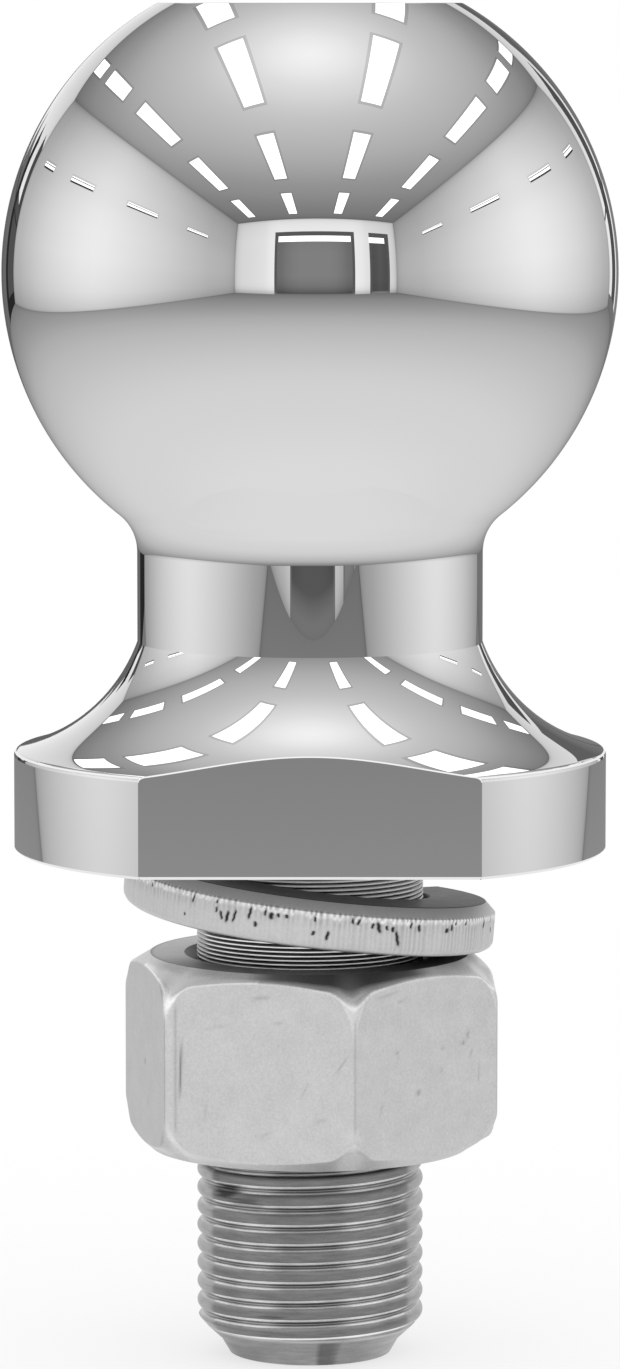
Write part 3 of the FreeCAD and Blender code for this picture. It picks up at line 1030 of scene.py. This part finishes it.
# tones of a side: chamfer with painted light, painted highlights at the corners and along the edges, a fine
# dark line down each corner, the washer's painted shadow and marks
def nutTones(side, face, onTop, turns, depths, z):
    n = nut
    y, drop, fromCorner = side["y"], side["drop"], side["fromCorner"]
    strength = 1.0 if onTop else 0.25
    below = np.maximum(depths - drop, 0)
    onChamfer = 1 - smoothStep((depths - drop + 0.12) / 0.24)
    sideTone = n["sideTones"][face]
    # the chamfer's painted light, weaker on the bottom chamfer
    tone = sideTone + (n["chamferLitTone"] - sideTone) * onChamfer * (1 if onTop else 0.35)

    # each corner's painted highlight narrows downwards like a funnel, and runs up the chamfer as a facet
    cornerLight = np.where(y < 0, n["cornerHighlights"][face], n["cornerHighlights"][(face + 1) % 6])
    funnel = 1.2 * np.exp(-(below / 0.8)) + 0.02
    inside = smoothStep((funnel - fromCorner) / 0.25) * np.exp(-(below / 1.4) ** 2) * (1 - onChamfer)
    facet = 1.5 + 0.65 * (cornerLight > 0.3)
    soft = 0.15 + 0.25 * (cornerLight > 0.3)
    inside = inside + smoothStep((depths - side["cornerDrop"] + facet) / soft) * onChamfer
    # a painted highlight along the funnel's outline
    rim = np.exp(-((fromCorner - funnel) / 0.14) ** 2) * np.exp(-(below / 1.6) ** 2) * (1 - onChamfer)
    # a painted highlight along the chamfer's edge, stronger near the corners and ragged on side 0
    highlightBreaks = 0.5 + 0.5 * np.sin(y * 9 + face) * np.sin(y * 23 + 2 * face)
    nearCorner = smoothStep((side["fromMiddle"] - 0.45) / 0.3)
    edge = np.exp(-((depths - drop) / 0.12) ** 2) * (0.3 + 0.7 * nearCorner)
    edge = edge * (1 + 1.6 * (face == 0) * highlightBreaks)
    # painted shadow of the washer on the upper chamfer, darkest on its low side
    if onTop:
        azimuth, depth = n["chamferWasherShadow"]
        washerShadow = smoothStep((np.cos(turns - math.radians(azimuth)) - 0.80) / 0.12)
        tone = tone * (1 - depth * washerShadow * (1 - smoothStep((depths - 0.55 * drop) / 0.25)))
    tone = tone + cornerLight * inside * strength + 0.16 * rim * strength + 0.12 * edge * strength

    seamPlace = np.where(y < 0, n["seams"][face], 0)
    seam = np.exp(-((fromCorner - seamPlace) / 0.13) ** 2) * smoothStep((depths - drop - 0.6) / 0.8)
    tone = tone - 0.13 * seam + 0.02 * smoothStep((seamPlace - fromCorner) / 0.2)
    for where, along, height, length, lean, width, share in nutMarks:
        if where == face:
            c, s = math.cos(math.radians(lean)), math.sin(math.radians(lean))
            dy, dz = y[None, :] - along, z - height
            across, onward = dy * c - dz * s, dy * s + dz * c
            mark = np.exp(-(across / width) ** 2 - (np.abs(onward) / (length / 2)) ** 4)
            tone = tone * (1 - share * mark)
    return np.clip(tone, 0.02, 1)


# the flat ring between the chamfer and the bore, with the washer's painted shadow round its low side
def nutFace(turns, level, onTop):
    n = nut
    way = 1.0 if onTop else -1.0
    mouthR = n["bore"] + n["countersink"]
    inner, mouth = (np.stack([r * np.cos(turns), r * np.sin(turns), np.full_like(turns, level)], -1)
                    for r in (n["faceRadius"], mouthR))
    shares = np.array([0, 0.3, 0.6, 0.85, 0.93, 0.97, 1.0])[:, None]
    # painted shadow of the washer, on the top face only
    azimuth, depth = n["faceWasherShadow"]
    washerShadowShare = smoothStep((np.cos(turns - math.radians(azimuth)) + 0.35) / 0.7) * (1 - 0.35 * shares)
    tone = n["faceTone"] * (1 - 0.45 * smoothStep((shares - 0.90) / 0.08))
    tone = tone * (1 - (depth if onTop else 0) * washerShadowShare)
    spots = mouth * (1 - shares[..., None]) + inner * shares[..., None]
    return spots, np.array([0, 0, way]), tone


# countersinks and the thread between them
def nutBore(turns, low, high):
    n = nut
    turn, z = np.meshgrid(turns, np.linspace(high, low, 120))
    phase = z / n["threadPitch"] - turn / (2 * np.pi)
    groove = 1 - np.abs(phase - np.round(phase)) * 2
    radius = n["bore"] + n["threadDepth"] * smoothStep(groove)
    cone = np.maximum(n["bore"] + n["countersink"] - (high - z), n["bore"] + n["countersink"] - (z - low))
    radius = np.maximum(radius, cone)
    spots = np.stack([radius * np.cos(turn), radius * np.sin(turn), z], -1)
    spots[:, -1] = spots[:, 0]
    inward = -np.stack([np.cos(turn), np.sin(turn), np.zeros_like(z)], -1)
    return spots, gridWays(spots, inward), n["boreTone"]


def buildNut():
    n = nut
    low, high = (corner.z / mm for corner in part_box("hex_nut"))
    side = nutSide()
    radii, depths, ups, slopeUp = nutRows(side, (high - low) / 2)
    patches = []
    boreTurns = []
    for face in range(6):
        azimuth = math.radians(n["cornerAzimuth"] + 30 + 60 * face)
        turns = azimuth + side["span"]
        boreTurns.append(turns[:-1:4])
        radial = np.stack([np.cos(turns), np.sin(turns), 0 * turns], -1)
        facing = np.stack([np.cos(azimuth + side["bend"]), np.sin(azimuth + side["bend"]), 0 * turns], -1)
        flatWays = np.sqrt(1 - ups ** 2)[..., None] * np.where(
            (ups > 0.99 * slopeUp)[..., None], radial, facing)
        for onTop in (True, False):
            level, way = (high, 1.0) if onTop else (low, -1.0)
            z = level - way * depths
            spots = np.stack([radii * np.cos(turns), radii * np.sin(turns), z], -1)
            ways = flatWays + np.stack([0 * ups, 0 * ups, ups * way], -1)
            ways /= np.linalg.norm(ways, axis=-1, keepdims=True)
            patches.append((spots, ways, nutTones(side, face, onTop, turns, depths, z)))
            patches.append(nutFace(turns, level, onTop))
    turns = np.concatenate(boreTurns)
    patches.append(nutBore(np.append(turns, turns[0] + 2 * np.pi), low, high))
    steel = newMaterial("nutSteel", steelFinish(n["roughness"], 2.2, 0.26, 0.34))
    piece = meshPiece("chamfered_nut", patches, steel)
    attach(piece, "nut")
    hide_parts("hex_nut")
    return piece


buildNut()
print("nut made")


# Stage, seen or reflected but no part of the object
stageSize = {
    "floorHalfWidth": 3.0,
    "below": 0.0001,
    "shadeInset": 0.3,
    "shadeHeight": 0.5,
}
# what the flare mirrors below it, by the distance aside, and what the seat's side mirrors
aboveShades = [(0, 217), (0.5, 216), (0.75, 214), (1, 211)]
underLight = 0.40


def newStage(name, spots, material):
    mesh = bpy.data.meshes.new(name)
    mesh.from_pydata(spots, [], [list(range(len(spots)))])
    mesh.materials.append(material)
    stage = bpy.data.objects.new(name, mesh)
    bpy.context.scene.collection.objects.link(stage)
    return stage


# Floor under the shank's end, with the shadow but not in the chrome's reflections
def buildFloor():
    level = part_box("tow_ball")[0].z - stageSize["below"]
    h = stageSize["floorHalfWidth"]
    material = newMaterial("whiteFloor", lambda begin: {
        "Base Color": (0.35, 0.35, 0.35, 1), "Roughness": 1.0, "Specular IOR Level": 0.0,
        "Emission Color": (1, 1, 1, 1), "Emission Strength": 0.65})
    floor = newStage("floor", [(-h, -h, level), (h, -h, level), (h, h, level), (-h, h, level)], material)
    floor.visible_glossy = False


# What reflections meet at the flange: the floor's grey from above, and its shade from below
def buildFlangeShade():
    inset, level = stageSize["shadeInset"], stageSize["shadeHeight"] * mm
    radius, wall = (body["rimRadius"] - inset) * mm, (body["flatDistance"] - inset) * mm
    turns = np.radians(360 * closeRows(96)[:-1])
    spots = [(radius * math.cos(t), max(-wall, min(wall, radius * math.sin(t))), level) for t in turns]
    material = bpy.data.materials.new("flangeShade")
    material.use_nodes = True
    material.node_tree.nodes.clear()
    begin = Wire(material.node_tree)
    behind = begin.node("ShaderNodeNewGeometry", out="Backfacing")
    aside = abs(begin.axes("Object")[0]) / (body["rimRadius"] * mm)
    grey = aside.shade(reflected(aboveShades)).under(underLight, behind)
    glow = begin.node("ShaderNodeEmission", sockets={"Color": (1, 1, 1, 1), "Strength": grey})
    begin.node("ShaderNodeOutputMaterial", sockets={"Surface": glow})
    disc = newStage("flangeShade", spots, material)
    disc.visible_camera = False
    disc.visible_diffuse = False
    disc.visible_transmission = False
    disc.visible_volume_scatter = False
    disc.visible_shadow = False


buildFloor()
buildFlangeShade()
print("stage made")
